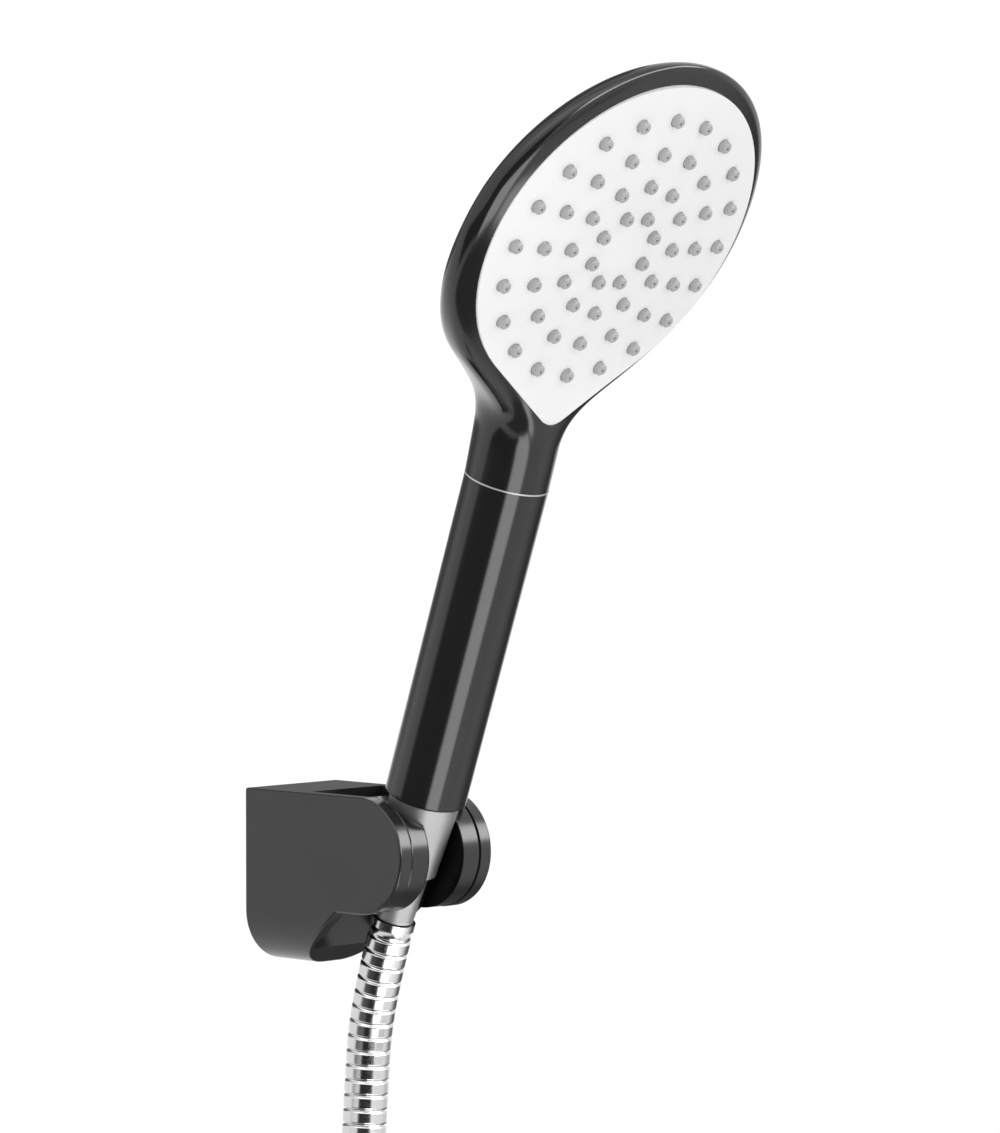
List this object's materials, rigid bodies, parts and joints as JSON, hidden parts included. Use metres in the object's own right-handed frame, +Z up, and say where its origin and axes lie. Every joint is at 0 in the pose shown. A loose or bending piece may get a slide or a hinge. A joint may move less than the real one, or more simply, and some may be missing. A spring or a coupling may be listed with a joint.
{
  "type": "handheld shower head",
  "caption": "Hand shower with a teardrop spray plate, parked in a tilting wall bracket, with a metal hose that ends in a hexagonal supply nut.",
  "frame": {"origin": "on the wall face of the bracket, behind the centre of the turning socket", "axes": "+Z up, +Y into the wall, so the hand shower stands out towards -Y; +X to the right as one faces the wall"},
  "size_m": [0.1768, 0.1727, 0.537],
  "materials": {
    "shell_plastic": "gloss anthracite",
    "plate_plastic": "white, satin gloss",
    "nozzle_silicone": "grey, matt",
    "inner_plastic": "natural acetal",
    "screw_steel": "bright",
    "seal_rubber": "black",
    "ring_satin": "satin",
    "nut_chrome": "satin chrome",
    "hose_metal": "polished chrome",
    "waterway_brass": "turned brass",
    "tie_plastic": "black",
    "bracket_plastic": "satin anthracite",
    "drum_plastic": "satin anthracite"
  },
  "bodies": {
    "bracket": {"bracket_body": "bracket_plastic", "left_cover": "bracket_plastic", "right_cover": "bracket_plastic", "pivot_pins": "screw_steel", "spring_washers": "screw_steel"},
    "holder": {"holder_drum": "drum_plastic", "friction_washers": "inner_plastic"},
    "hose_end": {"hose_ferrule": "hose_metal", "ferrule_washer": "inner_plastic"},
    "handset": {"head_shell": "shell_plastic", "face_plate": "plate_plastic", "nozzle_mat": "nozzle_silicone", "spray_distributor": "inner_plastic", "distributor_screws": "screw_steel", "chamber_seal": "seal_rubber", "seam_ring": "ring_satin", "handle_sleeve": "shell_plastic", "inner_waterway": "waterway_brass", "waterway_o_rings": "seal_rubber", "flow_regulator": "inner_plastic", "inlet_filter": "inner_plastic", "cone_nut": "nut_chrome"},
    "hose": {"hose_run": "hose_metal", "hose_coil": "hose_metal", "hose_tail": "hose_metal", "coil_ties": "tie_plastic", "far_end_ferrule": "hose_metal", "far_end_washer": "seal_rubber"},
    "supply_nut": {"far_end_nut": "nut_chrome"}
  },
  "joints": [
    {"name": "holder_tilt", "type": "hinge", "parent": "bracket", "child": "holder", "pos_m": [0, -0.0515, 0], "axis": [1, 0, 0], "range_deg": [-11, 15]},
    {"name": "handset_lift", "type": "slide", "parent": "holder", "child": "hose_end", "axis": [0, -0.3338, 0.9426], "range_m": [0, 0.045]},
    {"name": "handset_turn", "type": "hinge", "parent": "hose_end", "child": "handset", "pos_m": [0, -0.05386, -0.00083], "axis": [0, -0.3338, 0.9426], "continuous": true},
    {"name": "hose_bend", "type": "hinge", "parent": "hose_end", "child": "hose", "pos_m": [0, -0.04448, -0.02732], "axis": [1, 0, 0], "range_deg": [-6, 4.4]},
    {"name": "supply_nut_turn", "type": "hinge", "parent": "hose", "child": "supply_nut", "pos_m": [-0.034, -0.0778, -0.266], "axis": [0, 0, 1], "continuous": true}
  ],
  "couplings": [
    {"joint": "hose_bend", "follows": "holder_tilt", "ratio": -0.4}
  ]
}
